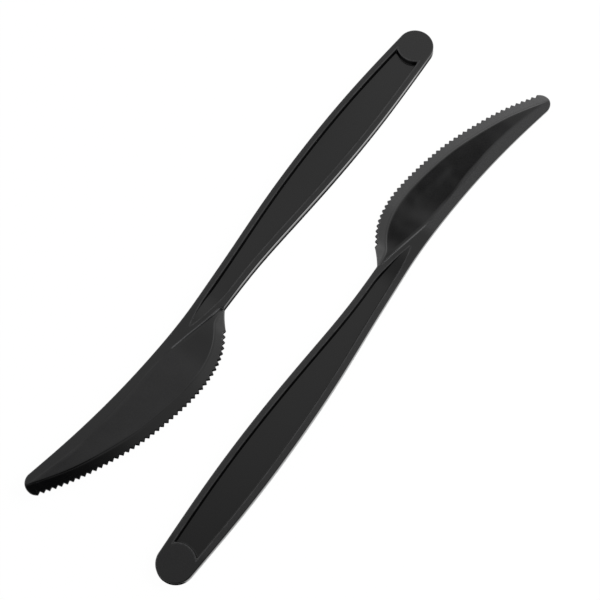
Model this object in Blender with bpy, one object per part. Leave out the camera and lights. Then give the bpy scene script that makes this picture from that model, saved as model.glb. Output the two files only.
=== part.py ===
"""Two disposable plastic knives of one pack, laid side by side with their ends swapped.

Each knife is one moulded solid: a handle with a sunk panel between two rims, a round thumb disc at
its end, a raised back that thins out along the blade, a hollow blade face, and a bevelled edge with
moulded teeth. Knife coordinates: X from the handle's end to the tip, Y towards the teeth, Z up.
"""

import math

import bmesh
import bpy
import numpy as np
from mathutils import Matrix, Vector

MM = 0.001

# Lengths along the knife
HANDLE_LENGTH = 112.3 * MM
BLADE_LENGTH = 77.6 * MM

# Handle: (share of its length, centre line, width)
END_RADIUS = 5.75 * MM
END_CENTRE = 0.2 * MM
HANDLE_SHAPE = (
    (0.27, 0.70 * MM, 14.0 * MM),
    (0.48, 1.23 * MM, 14.1 * MM),
    (0.70, 1.88 * MM, 11.8 * MM),
    (0.87, 2.82 * MM, 9.3 * MM),
    (1.00, 3.92 * MM, 8.4 * MM),
)
HANDLE_HEIGHT_END = 2.8 * MM
HANDLE_HEIGHT_NECK = 3.2 * MM
RIM_RADIUS = 0.35 * MM
WALL_DRAFT = math.radians(4.0)

# Sunk panel in the top of the handle
RIM_WIDTH = 1.8 * MM
PANEL_DEPTH = 1.5 * MM
PANEL_DRAFT = math.radians(6.0)
PANEL_LIP = 0.15 * MM
PANEL_RAMP_LENGTH = 15.0 * MM
PANEL_PAST_NOTCH = 11.0 * MM
PANEL_POINT_CURVE = 1.4 * MM
DISC_DRAFT = math.radians(14.0)

# Blade outline: (share of its length, distance from the knife's axis)
BACK_SHAPE = (
    (0.075, 0.30 * MM),
    (0.330, 0.93 * MM),
    (0.590, 0.04 * MM),
    (0.800, -1.75 * MM),
)
FIRST_TOOTH = (0.065, 12.65 * MM)
TOOTH_SHAPE = (
    (0.120, 15.60 * MM),
    (0.187, 17.80 * MM),
    (0.326, 18.92 * MM),
    (0.465, 17.80 * MM),
    (0.603, 15.60 * MM),
    (0.736, 12.15 * MM),
    (0.865, 7.85 * MM),
)
HEEL_HOLLOW = 0.25 * MM
TIP_RADIUS = 3.45 * MM
TIP_CENTRE = -0.1 * MM
TIP_TOOTH_ANGLE = math.radians(45.0)
TIP_BACK_ANGLE = math.radians(-98.5)

# Blade section
BACK_THICKNESS = (
    (0.17, 2.75 * MM),
    (0.50, 2.25 * MM),
    (1.00, 1.60 * MM),
)
BLADE_RISE = math.radians(1.9)
RISE_START = 12.0 * MM
RISE_RADIUS_LENGTH = 25.0 * MM
CREASE_INSET = 0.85 * MM
CREASE_SHAPE = (
    (0.075, 6.20 * MM),
    (0.125, 5.20 * MM),
    (0.230, 3.40 * MM),
    (0.310, 2.50 * MM),
    (0.500, 2.50 * MM),
    (0.740, 3.00 * MM),
    (1.000, 1.60 * MM),
)
CREASE_WIDTH = 0.55 * MM
CREASE_ROOM = 0.93
CREASE_DROP = (
    (0.00, 1.50 * MM),
    (0.035, 0.95 * MM),
    (0.075, 0.60 * MM),
    (0.170, 0.40 * MM),
    (0.300, 0.24 * MM),
    (0.500, 0.24 * MM),
    (0.750, 0.14 * MM),
    (1.000, 0.02 * MM),
)
FACE_FALL = 0.035
FACE_HOLLOW = 0.009
BEVEL_ANGLE = math.radians(15.0)
BEVEL_WIDTH = 3.65 * MM
HEEL_BEVEL_SHAPE = (
    (0.000, 0.35 * MM),
    (0.035, 1.95 * MM),
    (0.070, 3.95 * MM),
    (0.096, 3.95 * MM),
)

# Teeth
TOOTH_COUNT = 44
TOOTH_DEPTH = 0.78 * MM
TOOTH_LAND = 0.1 * MM
TOOTH_ROOT_RADIUS = 0.16 * MM

# The pair as it lies: two knives head to tail, each a little askew
PAIR_SPACING = 44.5 * MM
PAIR_SHIFT = 2.2 * MM
PAIR_LEAN = math.radians(0.4)

# Mesh fineness
END_STEPS = 9
DISC_SEGMENTS = 56
HANDLE_STEP = 3.8 * MM
HEEL_STEP = 0.75 * MM
BLADE_STEP = 2.2 * MM
CUT_MARGIN = 0.4 * MM

KNIFE_LENGTH = HANDLE_LENGTH + BLADE_LENGTH
TIP_X = KNIFE_LENGTH - TIP_RADIUS
BACK, FRONT = -1.0, 1.0


def clear_scene():
    for item in list(bpy.data.objects):
        bpy.data.objects.remove(item, do_unlink=True)


def smooth_curve(points):
    """The function y(x) of the natural cubic spline through the points."""
    x, y = np.array(points, float).T
    gap = np.diff(x)
    slope = np.diff(y) / gap
    matrix = np.eye(len(x))
    target = np.zeros(len(x))
    for i in range(1, len(x) - 1):
        matrix[i, i - 1 : i + 2] = gap[i - 1], 2.0 * (gap[i - 1] + gap[i]), gap[i]
        target[i] = 6.0 * (slope[i] - slope[i - 1])
    bend = np.linalg.solve(matrix, target)

    def curve(at):
        i = int(np.clip(np.searchsorted(x, at) - 1, 0, len(x) - 2))
        inside = float(np.clip(at, x[0], x[-1]))
        left = inside - x[i]
        right = x[i + 1] - inside
        value = (bend[i] * right**3 + bend[i + 1] * left**3) / (6.0 * gap[i])
        value += (y[i] / gap[i] - bend[i] * gap[i] / 6.0) * right
        value += (y[i + 1] / gap[i] - bend[i + 1] * gap[i] / 6.0) * left
        return value

    return curve


def slope_of(curve, x, step=0.05 * MM):
    return (curve(x + step) - curve(x - step)) / (2.0 * step)


def along_blade(share):
    return HANDLE_LENGTH + share * BLADE_LENGTH


def handle_side(side):
    """Points of one side of the handle, from the end circle to the notch."""
    points = [(END_RADIUS, END_CENTRE + side * END_RADIUS)]
    for share, centre, width in HANDLE_SHAPE:
        points.append((share * HANDLE_LENGTH, centre + side * width / 2.0))
    return points


def on_tip(angle):
    return TIP_X + TIP_RADIUS * math.cos(angle), TIP_CENTRE + TIP_RADIUS * math.sin(angle)


BACK_LINE = smooth_curve(
    handle_side(BACK)
    + [(along_blade(share), y) for share, y in BACK_SHAPE]
    + [on_tip(TIP_BACK_ANGLE)]
)
HANDLE_FRONT = smooth_curve(handle_side(FRONT))
TOOTH_POINTS = [(along_blade(share), y) for share, y in (FIRST_TOOTH,) + TOOTH_SHAPE]
TOOTH_POINTS.append(on_tip(TIP_TOOTH_ANGLE))
TOOTH_LINE = smooth_curve(TOOTH_POINTS)
HEEL_END = along_blade(FIRST_TOOTH[0])
LAST_TOOTH = TOOTH_POINTS[-1][0]


def heel_line(x):
    """A shallow hollow from the notch up to the first tooth."""
    share = (x - HANDLE_LENGTH) / (HEEL_END - HANDLE_LENGTH)
    start = HANDLE_FRONT(HANDLE_LENGTH)
    straight = start + share * (TOOTH_LINE(HEEL_END) - start)
    return straight - HEEL_HOLLOW * 4.0 * share * (1.0 - share)


def front_line(x):
    if x <= HANDLE_LENGTH:
        return HANDLE_FRONT(x)
    if x <= HEEL_END:
        return heel_line(x)
    return TOOTH_LINE(x)


def outline(x, side):
    """Y of one side of the plan outline, and its outward normal in plan."""
    round_front = side == FRONT and x > LAST_TOOTH
    round_back = side == BACK and x > on_tip(TIP_BACK_ANGLE)[0]
    if x < END_RADIUS:
        reach, radius, centre = x - END_RADIUS, END_RADIUS, END_CENTRE
    elif round_front or round_back:
        reach, radius, centre = x - TIP_X, TIP_RADIUS, TIP_CENTRE
    else:
        line = front_line if side == FRONT else BACK_LINE
        slope = slope_of(line, x)
        return line(x), Vector((-slope * side, side)).normalized()
    half = math.sqrt(max(radius**2 - reach**2, 0.0))
    return centre + side * half, Vector((reach, side * half)).normalized()


def thickness_line():
    points = [(0.0, HANDLE_HEIGHT_END), (0.93 * HANDLE_LENGTH, HANDLE_HEIGHT_NECK)]
    points += [(along_blade(share), height) for share, height in BACK_THICKNESS]
    return smooth_curve(points)


THICKNESS = thickness_line()
CREASE_FALL = smooth_curve([(along_blade(share), drop) for share, drop in CREASE_DROP])
CREASE_BACK = smooth_curve(
    [(HANDLE_LENGTH, HANDLE_SHAPE[-1][2] - CREASE_INSET)]
    + [(along_blade(share), width) for share, width in CREASE_SHAPE]
)


def bevel_points():
    """The bevel's inner line: set in from the heel, then square to the line of the teeth."""
    points = []
    for share, inset in HEEL_BEVEL_SHAPE:
        x = along_blade(share)
        points.append((x, front_line(x) - inset))
    for x, y in TOOTH_POINTS[2:]:
        slope = slope_of(TOOTH_LINE, min(x, LAST_TOOTH - 0.1 * MM))
        inward = Vector((slope, -1.0)).normalized() * BEVEL_WIDTH
        points.append((x + inward.x, y + inward.y))
    return points


BEVEL_POINTS = bevel_points()
BEVEL_CURVE = smooth_curve(BEVEL_POINTS)


def bevel_line(x):
    """The bevel's inner line, carried on straight past its last point."""
    last = BEVEL_POINTS[-1][0]
    if x <= last:
        return BEVEL_CURVE(x)
    return BEVEL_CURVE(last) + (x - last) * slope_of(BEVEL_CURVE, last - 0.1 * MM)


def lift(x):
    """Height of the flat underside: zero under the handle, rising gently towards the tip."""
    past = x - (HANDLE_LENGTH - RISE_START)
    slope = math.tan(BLADE_RISE)
    if past <= 0.0:
        return 0.0
    if past <= RISE_RADIUS_LENGTH:
        return slope * past**2 / (2.0 * RISE_RADIUS_LENGTH)
    return slope * (past - RISE_RADIUS_LENGTH / 2.0)


def rails(x):
    """Y of the crease's top and foot and of the bevel's inner line."""
    bevel = bevel_line(x)
    room = max(bevel - BACK_LINE(x), 0.0)
    crease = BACK_LINE(x) + min(CREASE_BACK(x), CREASE_ROOM * room)
    foot = min(crease + CREASE_WIDTH, crease + 0.5 * max(bevel - crease, 0.0))
    return crease, foot, bevel


def top_height(x, y):
    """Height of the top surface before the panel is sunk."""
    top = lift(x) + THICKNESS(x)
    if x <= HANDLE_LENGTH:
        return top
    crease, foot, bevel = rails(x)
    if y <= crease:
        return top
    if y < foot:
        return top - CREASE_FALL(x) * (y - crease) / (foot - crease)
    face = max(bevel - foot, 0.0)
    share = min((y - foot) / face, 1.0) if face > 0.0 else 1.0
    drop = CREASE_FALL(x) + face * (FACE_FALL * share + FACE_HOLLOW * 4.0 * share * (1.0 - share))
    square = math.cos(math.atan(slope_of(bevel_line, x)))
    return top - drop - max(y - bevel, 0.0) * square * math.tan(BEVEL_ANGLE)


def corner(x, y, outward, radius, base):
    """Foot, wall top, rounded corner and inner edge of one side wall."""
    inner = Vector((x, y)) - outward * radius
    height = top_height(inner.x, inner.y)
    middle = Vector((x, y)) - outward * radius * (1.0 - math.sqrt(0.5))
    foot = Vector((x, y)) + outward * (height - base) * math.tan(WALL_DRAFT)
    return [
        Vector((foot.x, foot.y, base)),
        Vector((x, y, height - radius)),
        Vector((middle.x, middle.y, height - radius * (1.0 - math.sqrt(0.5)))),
        Vector((inner.x, inner.y, height)),
    ]


def section(x):
    """The closed ring of points of the blank at one station."""
    base = lift(x)
    back_y, back_out = outline(x, BACK)
    front_y, front_out = outline(x, FRONT)
    front_radius = RIM_RADIUS if x <= HANDLE_LENGTH else 0.0
    back = corner(x, back_y, back_out, RIM_RADIUS, base)
    front = corner(x, front_y, front_out, front_radius, base)
    start, end = back[-1], front[-1]
    if x <= HANDLE_LENGTH:
        inner = [end.y] * 5
    else:
        crease, foot, bevel = rails(x)
        inner = [crease, foot, foot + (bevel - foot) / 3.0, bevel - (bevel - foot) / 3.0, bevel]
    ring = list(back)
    span = max(end.y - start.y, 1e-9)
    for y in inner:
        share = min(max((y - start.y) / span, 0.0), 1.0)
        spot = start.lerp(end, share)
        ring.append(Vector((spot.x, spot.y, top_height(spot.x, spot.y))))
    return ring + front[::-1]


def stations():
    """Distances along the knife, close together where the outline turns."""
    turns = [math.pi / 2.0 * i / END_STEPS for i in range(END_STEPS)]
    places = [END_RADIUS * (1.0 - math.cos(turn)) for turn in turns]
    places += spaced(END_RADIUS, HANDLE_LENGTH, HANDLE_STEP)
    places += spaced(HANDLE_LENGTH, along_blade(0.12), HEEL_STEP)
    places += spaced(along_blade(0.12), TIP_X, BLADE_STEP)
    places += [TIP_X + TIP_RADIUS * math.sin(turn) for turn in turns]
    places.append(KNIFE_LENGTH)
    return places


def spaced(start, end, step):
    """Even places from start up to, not including, end."""
    count = max(round((end - start) / step), 1)
    return [start + (end - start) * i / count for i in range(count)]


def loft(name, rings):
    """A closed mesh through rings of equal length; points that coincide are joined."""
    mesh = bmesh.new()
    rows = [[mesh.verts.new(point) for point in ring] for ring in rings]
    for row, following in zip(rows, rows[1:]):
        for i in range(len(row)):
            j = (i + 1) % len(row)
            mesh.faces.new((row[i], following[i], following[j], row[j]))
    mesh.faces.new(rows[0])
    mesh.faces.new(rows[-1][::-1])
    bmesh.ops.remove_doubles(mesh, verts=mesh.verts, dist=0.002 * MM)
    bmesh.ops.dissolve_degenerate(mesh, edges=mesh.edges, dist=0.002 * MM)
    bmesh.ops.recalc_face_normals(mesh, faces=mesh.faces)
    data = bpy.data.meshes.new(name)
    mesh.to_mesh(data)
    mesh.free()
    return data


def add_object(name, data, collection, hidden=False):
    item = bpy.data.objects.new(name, data)
    collection.objects.link(item)
    if hidden:
        item.hide_render = True
        item.display_type = "WIRE"
    return item


def subtract(item, cutter):
    cut = item.modifiers.new(cutter.name, "BOOLEAN")
    cut.operation = "DIFFERENCE"
    cut.solver = "EXACT"
    cut.object = cutter


def blank():
    return loft("knife_blank", [section(x) for x in stations()])


PANEL_END = HANDLE_LENGTH + PANEL_PAST_NOTCH


def panel_sides(x):
    """Y of the panel's back and front edges at the top surface."""
    point = max(x - HANDLE_LENGTH, 0.0) / PANEL_PAST_NOTCH
    back = BACK_LINE(x) + RIM_WIDTH + PANEL_POINT_CURVE * point**2
    if x <= HANDLE_LENGTH:
        return back, HANDLE_FRONT(x) - RIM_WIDTH - point_inset(x)
    return back, rails(x)[0] - RIM_WIDTH + CREASE_WIDTH / 2.0


def point_inset(x):
    """How far the panel's front edge leaves the rim to run along the crease."""
    run = 6.0 * MM
    share = min(max((x - HANDLE_LENGTH + run) / run, 0.0), 1.0)
    return (CREASE_INSET - CREASE_WIDTH / 2.0) * share**2


def panel_depth(x):
    share = min(max((PANEL_END - x) / PANEL_RAMP_LENGTH, 0.0), 1.0)
    return PANEL_DEPTH * share**2 * (3.0 - 2.0 * share)


def panel_ring(x):
    back, front = panel_sides(x)
    middle = (back + front) / 2.0
    top = lift(x) + THICKNESS(x)
    depth = panel_depth(x)
    lip = min(PANEL_LIP, depth / 2.0)
    draft = (depth - lip) * math.tan(PANEL_DRAFT)
    levels = (
        (CUT_MARGIN + lip, CUT_MARGIN),
        (0.0, -lip),
        (-draft, -depth),
    )
    lower = [(min(back - out, middle), top + rise) for out, rise in levels]
    upper = [(max(front + out, middle), top + rise) for out, rise in levels[::-1]]
    return [Vector((x, y, z)) for y, z in lower + upper]


def panel_cutter(collection):
    """The sunk panel's space, with a round bite where the thumb disc stands."""
    places = spaced(END_RADIUS, HANDLE_LENGTH, HANDLE_STEP)
    places += spaced(HANDLE_LENGTH, PANEL_END, HEEL_STEP * 2.0) + [PANEL_END]
    data = loft("panel_cutter", [panel_ring(x) for x in places])
    panel = add_object("panel_cutter", data, collection, hidden=True)
    disc = add_object("disc_keeper", disc_mesh(), collection, hidden=True)
    subtract(panel, disc)
    return panel


def disc_mesh():
    """A cone frustum around the thumb disc, wider at the panel's floor."""
    height = 2.0 * (PANEL_DEPTH + CUT_MARGIN)
    spread = height / 2.0 * math.tan(DISC_DRAFT)
    mesh = bmesh.new()
    bmesh.ops.create_cone(
        mesh,
        cap_ends=True,
        segments=DISC_SEGMENTS,
        radius1=END_RADIUS + spread,
        radius2=END_RADIUS - spread,
        depth=height,
    )
    centre = Vector((END_RADIUS, END_CENTRE, HANDLE_HEIGHT_END))
    bmesh.ops.translate(mesh, verts=mesh.verts, vec=centre)
    data = bpy.data.meshes.new("disc_keeper")
    mesh.to_mesh(data)
    mesh.free()
    return data


def tooth_gaps():
    """Middle and direction of each gap, at even steps along the line of the teeth."""
    xs = np.linspace(HEEL_END, LAST_TOOTH, 600)
    ys = np.array([TOOTH_LINE(x) for x in xs])
    run = np.concatenate([[0.0], np.cumsum(np.hypot(np.diff(xs), np.diff(ys)))])
    pitch = run[-1] / (TOOTH_COUNT - 1)
    for i in range(TOOTH_COUNT - 1):
        ends = [np.interp(pitch * (i + share), run, xs) for share in (0.0, 1.0)]
        start, end = (Vector((x, TOOTH_LINE(x), 0.0)) for x in ends)
        yield (start + end) / 2.0, (end - start)


def gap_profile(width):
    """The gap seen from above: a V with a round root, and straight sides outside the edge."""
    half = (width - TOOTH_LAND) / 2.0
    flank = math.atan2(TOOTH_DEPTH, half)
    root = [
        (TOOTH_ROOT_RADIUS * math.sin(turn), -TOOTH_ROOT_RADIUS * math.cos(turn))
        for turn in np.linspace(-flank, flank, 4)
    ]
    drop = TOOTH_DEPTH - TOOTH_ROOT_RADIUS
    points = [(x, y - drop) for x, y in root]
    return points + [(half, 0.0), (half, CUT_MARGIN), (-half, CUT_MARGIN), (-half, 0.0)]


def tooth_cutters(collection):
    """One prism for each gap between two teeth."""
    reach = lift(KNIFE_LENGTH) + HANDLE_HEIGHT_NECK
    mesh = bmesh.new()
    for middle, chord in tooth_gaps():
        turn = Matrix.Rotation(math.atan2(chord.y, chord.x), 4, "Z")
        place = Matrix.Translation(middle) @ turn
        profile = [place @ Vector((x, y, -CUT_MARGIN)) for x, y in gap_profile(chord.length)]
        face = mesh.faces.new([mesh.verts.new(point) for point in profile])
        grown = bmesh.ops.extrude_face_region(mesh, geom=[face])["geom"]
        raised = [part for part in grown if isinstance(part, bmesh.types.BMVert)]
        bmesh.ops.translate(mesh, verts=raised, vec=(0.0, 0.0, reach + 2.0 * CUT_MARGIN))
    bmesh.ops.recalc_face_normals(mesh, faces=mesh.faces)
    data = bpy.data.meshes.new("tooth_cutters")
    mesh.to_mesh(data)
    mesh.free()
    return add_object("tooth_cutters", data, collection, hidden=True)


def knife_mesh(collection):
    """The blank with its panel and teeth cut, as one mesh."""
    item = add_object("knife_blank", blank(), collection)
    subtract(item, panel_cutter(collection))
    subtract(item, tooth_cutters(collection))
    graph = bpy.context.evaluated_depsgraph_get()
    data = bpy.data.meshes.new_from_object(item.evaluated_get(graph))
    data.name = "knife"
    bpy.data.objects.remove(item, do_unlink=True)
    data.shade_smooth()
    data.set_sharp_from_angle(angle=math.radians(28.0))
    return data


def black_plastic():
    material = bpy.data.materials.new("gloss_black_plastic")
    material.use_nodes = True
    shader = material.node_tree.nodes["Principled BSDF"]
    shader.inputs["Base Color"].default_value = (0.006, 0.006, 0.007, 1.0)
    shader.inputs["Roughness"].default_value = 0.18
    shader.inputs["Metallic"].default_value = 0.0
    shader.inputs["IOR"].default_value = 1.55
    return material


def place_knife(name, data, collection, half_turn, lean):
    """Lays a knife beside the pair's middle line, its own middle a little past the pair's."""
    item = add_object(name, data, collection)
    side = Matrix.Rotation(half_turn, 4, "Z")
    middle = Matrix.Translation((PAIR_SHIFT, -PAIR_SPACING / 2.0, 0.0))
    own_middle = Matrix.Translation((-KNIFE_LENGTH / 2.0, 0.0, 0.0))
    item.matrix_world = side @ middle @ Matrix.Rotation(lean, 4, "Z") @ own_middle
    return item


def centre_pair(knives):
    """Moves the knives together, so that the origin is the middle of the pair's box."""
    corners = [knife.matrix_world @ vertex.co for knife in knives for vertex in knife.data.vertices]
    low = Vector([min(corner[axis] for corner in corners) for axis in (0, 1)])
    high = Vector([max(corner[axis] for corner in corners) for axis in (0, 1)])
    shift = -(low + high) / 2.0
    for knife in knives:
        knife.location += Vector((shift.x, shift.y, 0.0))


def main():
    clear_scene()
    pack = bpy.data.collections.new("plastic_cutlery_pack")
    cutters = bpy.data.collections.new("cutters")
    bpy.context.scene.collection.children.link(pack)
    bpy.context.scene.collection.children.link(cutters)
    data = knife_mesh(cutters)
    data.materials.clear()
    data.materials.append(black_plastic())
    right = place_knife("knife_right", data, pack, 0.0, PAIR_LEAN)
    left = place_knife("knife_left", data, pack, math.pi, -PAIR_LEAN)
    centre_pair([left, right])


main()
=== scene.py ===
"""Looks of the plastic cutlery pack: two glossy black disposable knives, head to tail on a pale floor.

The knives are finer versions of the CAD knives, with the same outline, heights and teeth. The drafts
and the blade's section are their own. Knife coordinates are in millimetres: X from the handle's end
to the tip, Y towards the teeth, Z up.
"""

import math

import bmesh
import bpy
import numpy as np
from mathutils import Matrix, Vector


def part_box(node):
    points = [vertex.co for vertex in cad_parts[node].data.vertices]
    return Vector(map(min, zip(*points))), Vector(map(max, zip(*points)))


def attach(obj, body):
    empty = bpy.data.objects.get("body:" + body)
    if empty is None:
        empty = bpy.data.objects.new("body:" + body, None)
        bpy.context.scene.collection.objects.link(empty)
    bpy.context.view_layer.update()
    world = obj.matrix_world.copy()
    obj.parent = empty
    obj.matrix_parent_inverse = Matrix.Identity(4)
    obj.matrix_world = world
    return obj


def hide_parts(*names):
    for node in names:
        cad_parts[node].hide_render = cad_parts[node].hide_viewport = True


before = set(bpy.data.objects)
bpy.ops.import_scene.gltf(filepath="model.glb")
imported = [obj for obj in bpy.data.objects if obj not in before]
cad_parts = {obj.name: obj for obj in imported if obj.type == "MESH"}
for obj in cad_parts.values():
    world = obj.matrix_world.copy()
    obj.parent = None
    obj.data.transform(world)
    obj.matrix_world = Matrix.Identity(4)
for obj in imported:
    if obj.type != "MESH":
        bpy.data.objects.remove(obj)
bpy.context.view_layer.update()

MM = 0.001

# Camera, worked out from the photograph's perspective
CAMERA_AIM = Vector((-2.964, -1.254, 0.0)) * MM
CAMERA_TURN = math.radians(-52.283)
CAMERA_TILT = math.radians(20.0)
CAMERA_DISTANCE = 430.9 * MM
CAMERA_LENS = 86.04
CAMERA_SENSOR = 36.0
CAMERA_CLIP = (0.01, 20.0)

# The photograph's right and top, as directions along the floor
PHOTO_RIGHT = (math.cos(CAMERA_TURN), math.sin(CAMERA_TURN), 0.0)
PHOTO_TOP = (-math.sin(CAMERA_TURN), math.cos(CAMERA_TURN), 0.0)

# Outline, heights and teeth, with the same values as in the CAD
HANDLE_LENGTH = 112.3
BLADE_LENGTH = 77.6
END_RADIUS = 5.75
END_CENTRE = 0.2
HANDLE_SHAPE = (
    (0.27, 0.70, 14.0),
    (0.48, 1.23, 14.1),
    (0.70, 1.88, 11.8),
    (0.87, 2.82, 9.3),
    (1.00, 3.92, 8.4),
)
HANDLE_HEIGHT_END = 2.8
HANDLE_HEIGHT_NECK = 3.2
RIM_WIDTH = 1.8
PANEL_DEPTH = 1.5
PANEL_RAMP_LENGTH = 15.0
PANEL_PAST_NOTCH = 11.0
PANEL_POINT_CURVE = 1.4
PANEL_FRONT_EASE = 6.0
DISC_DRAFT = math.radians(14.0)
BACK_SHAPE = ((0.075, 0.30), (0.330, 0.93), (0.590, 0.04), (0.800, -1.75))
FIRST_TOOTH = (0.065, 12.65)
TOOTH_SHAPE = (
    (0.120, 15.60),
    (0.187, 17.80),
    (0.326, 18.92),
    (0.465, 17.80),
    (0.603, 15.60),
    (0.736, 12.15),
    (0.865, 7.85),
)
HEEL_HOLLOW = 0.25
TIP_RADIUS = 3.45
TIP_CENTRE = -0.1
TIP_TOOTH_ANGLE = math.radians(45.0)
TIP_BACK_ANGLE = math.radians(-98.5)
BACK_THICKNESS = ((0.17, 2.75), (0.50, 2.25), (1.00, 1.60))
BLADE_RISE = math.radians(1.9)
RISE_START = 12.0
RISE_RADIUS_LENGTH = 25.0
CREASE_INSET = 0.85
CREASE_SHAPE = (
    (0.075, 6.20),
    (0.125, 5.20),
    (0.230, 3.40),
    (0.310, 2.50),
    (0.500, 2.50),
    (0.740, 3.00),
    (1.000, 1.60),
)
CREASE_WIDTH = 0.55
CREASE_ROOM = 0.93
BEVEL_ANGLE = math.radians(15.0)
BEVEL_WIDTH = 3.65
HEEL_BEVEL_SHAPE = ((0.000, 0.35), (0.035, 1.95), (0.070, 3.95), (0.096, 3.95))
TOOTH_COUNT = 44
TOOTH_DEPTH = 0.78
TOOTH_ROOT_RADIUS = 0.16

# Drafts and blade section that differ from the CAD's: values that match the photo's reflections
WALL_DRAFT = math.radians(1.5)
PANEL_DRAFT = math.radians(13.0)
CREASE_DROP = (
    (0.00, 1.50),
    (0.035, 0.80),
    (0.075, 0.42),
    (0.170, 0.22),
    (0.240, 0.12),
    (0.290, 0.02),
    (0.400, 0.00),
    (0.750, 0.00),
    (1.000, 0.00),
)
FACE_FALL = 0.070
FACE_HOLLOW = 0.004

# What only the finer knife has: rounded edges, soft bevel, and the mould's ledge along the front foot
SHALLOWEST_WALL = 0.12
TOOTH_TIP_RADIUS = 0.2
RIM_EDGE_RADIUS = 0.32
TOOTH_EDGE_RADIUS = 0.25
NOTCH_RADIUS = 0.4
PANEL_LIP_RADIUS = 0.2
PANEL_FLOOR_RADIUS = 0.08
FOOT_RADIUS = 0.5
FOOT_SHARE = 0.3
BEVEL_SOFTNESS = 0.6
BEVEL_SOFT_SHARE = 0.4
CREASE_START_REACH = 0.35
LEDGE_WIDTH = 0.142
LEDGE_HEIGHT = 0.36
LEDGE_FOOT = 0.1
LEDGE_FADE = (120.0, 132.0)

# Rounded corners and profiles: counts of points, least turn, most of a side that a corner takes
EDGE_ARC = 3
LIP_POINTS = 5
PANEL_FLOOR_POINTS = 6
TOOTH_LINE_SAMPLES = 4000
STRAIGHT_TURN = 0.02
CORNER_SHARE = 0.45

# Rows of the mesh, across the knife: counts and steps along it
END_ROWS = 24
END_ROW_STEP = 0.55
DISC_ROWS_BEFORE = (-0.6, -0.3, -0.1)
DISC_ROWS_AFTER = (0.75, 1.0, 1.4, 2.0)
ROW_ROOM = 0.7
HANDLE_ROWS = 115
HANDLE_ROWS_STOP = 1.2
NOTCH_START = 0.9
HEEL_ROWS = 13
TOOTH_ROW_STEP = 0.4
TIP_ROWS = 15
TIP_FIRST_SHARE = 0.8
TIP_THINNING = 0.7
TEETH_INSET = 1.1
BULGE_START = END_RADIUS + 1.0
BULGE_FULL = 2.0 * END_RADIUS - 0.3
BULGE_HOLD = 2.0 * END_RADIUS + 1.2
BULGE_END = 2.0 * END_RADIUS + 10.0
BULGE_TIGHTEST = 0.9
BULGE_ROUNDS = 5

# Columns of the mesh, along the knife: shares of the way across each strip
COLUMN_GAP = 0.012
SUPPORT = 0.06
POINT_SHARE = 0.67
PANEL_SHARES = np.linspace(0.0, 1.0, 10)[1:-1]
RIM_SHARES = (0.35, 0.7)
CREASE_SHARES = (-0.12, 0.0, 0.12, 0.3, 0.5, 0.7, 0.88, 1.0, 1.12)
FACE_SHARES = np.linspace(0.0, 1.0, 11)[1:-1]
BEVEL_SHARES = (-1.0, -0.6, -0.2, 0.2, 0.6, 1.0)
TOOTH_SHARES = (0.33, 0.66)
UNDER_SHARES = (0.35, 0.65, 0.96)

# How the two knives lie, and where the right one's blade is twisted
LEAN = math.radians(0.4)
RIGHT_TWIST = math.radians(2.0)
TWIST_LENGTH = 25.0
LEFT_NUDGE = -0.12 * MM

# Marks on the surface that the material reads, in millimetres
LIP_FAR = 4.0
LIP_DEEPEST = -2.0
CREASE_FAR = 3.0
MARKS_RUN = 8.0
FACE_BEFORE = 0.6
FACE_RUN = 1.6
BEVEL_HALF = 0.3

# Plastic: colours, then how far each place is lightened, as a share of the way between them
# The lightening is partly wear and partly painted sheen and painted highlights where the knife would
# catch light
PLASTIC_IOR = 1.57
PLASTIC_CLEAN = (0.0011, 0.0011, 0.0012, 1.0)
PLASTIC_WORN_AND_LIT = (0.060, 0.060, 0.062, 1.0)
RIM_WORN_AND_LIT = 0.045
DISC_WORN_AND_LIT = 0.012
SCUFF_BELOW = 0.04
# Lip and crease lines are painted highlights, the edge line partly wear and partly painted highlight
LIP_PAINTED_HIGHLIGHT = 0.30
EDGE_WEAR_AND_HIGHLIGHT = 0.08
CREASE_PAINTED_HIGHLIGHT = 0.72
EDGE_ON_BLADE = 0.3
NECK_LEVEL = 0.3

# Where wear and painted sheen begin and end along the knife, and the middle and width of each light
# line
DISC_WEAR_AND_SHEEN_RUN = (10.0, 13.5)
BLADE_RUN = (HANDLE_LENGTH, HANDLE_LENGTH + 10.0)
NECK_RUN = (110.0, 118.0)
BAND_RUN = (128.0, 133.0)
CREASE_LINE_START = (HANDLE_LENGTH + 0.5, HANDLE_LENGTH + 2.0)
CREASE_LINE_END = (131.0, 132.5)
RIM_STEP = (-0.05, 0.1)
# Light lines: painted highlights along the lip and the crease, partly wear and partly painted
# highlight along the outer edge
LIP_LINE = (0.12, 0.2)
EDGE_LINE = (0.65, 0.2)
CREASE_LINE = (0.1, 0.2)

# Noise: scale and detail of each, and how its range is used
FINE_NOISE = (3.0, 3.0)
FINE_RANGE = (0.3, 0.7, 0.7, 1.3)
DASH_NOISE = (1.6, 2.0)
DASH_STRETCH = (0.25, 1.0, 1.0)
DASH_RANGE = (0.35, 0.6, 0.35, 1.0)
CLOUD_NOISE = (0.12, 1.0)
CLOUD_RANGE = (0.35, 0.65)
WAVE_NOISE = (0.15, 0.5)
WAVE_STRETCH = (0.8, 1.0, 1.0)
WAVE_HEIGHT = 0.13
WAVE_OFF_FACE = 0.1
GRAIN_HEIGHT = 0.0012
ROUGH_RIM = 0.24
ROUGH_PANEL = 0.12
ROUGH_FINE = 0.05
ROUGH_CLOUD = 0.06

# Strength of wear and painted sheen on each knife: rim, back band, blade face, bevel
# The painted sheen differs between the two knives as each catches the light
LEFT_WEAR_AND_SHEEN = (1.0, 1.0, 1.5, 0.1)
RIGHT_WEAR_AND_SHEEN = (2.3, 5.0, 0.05, 0.9)

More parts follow.
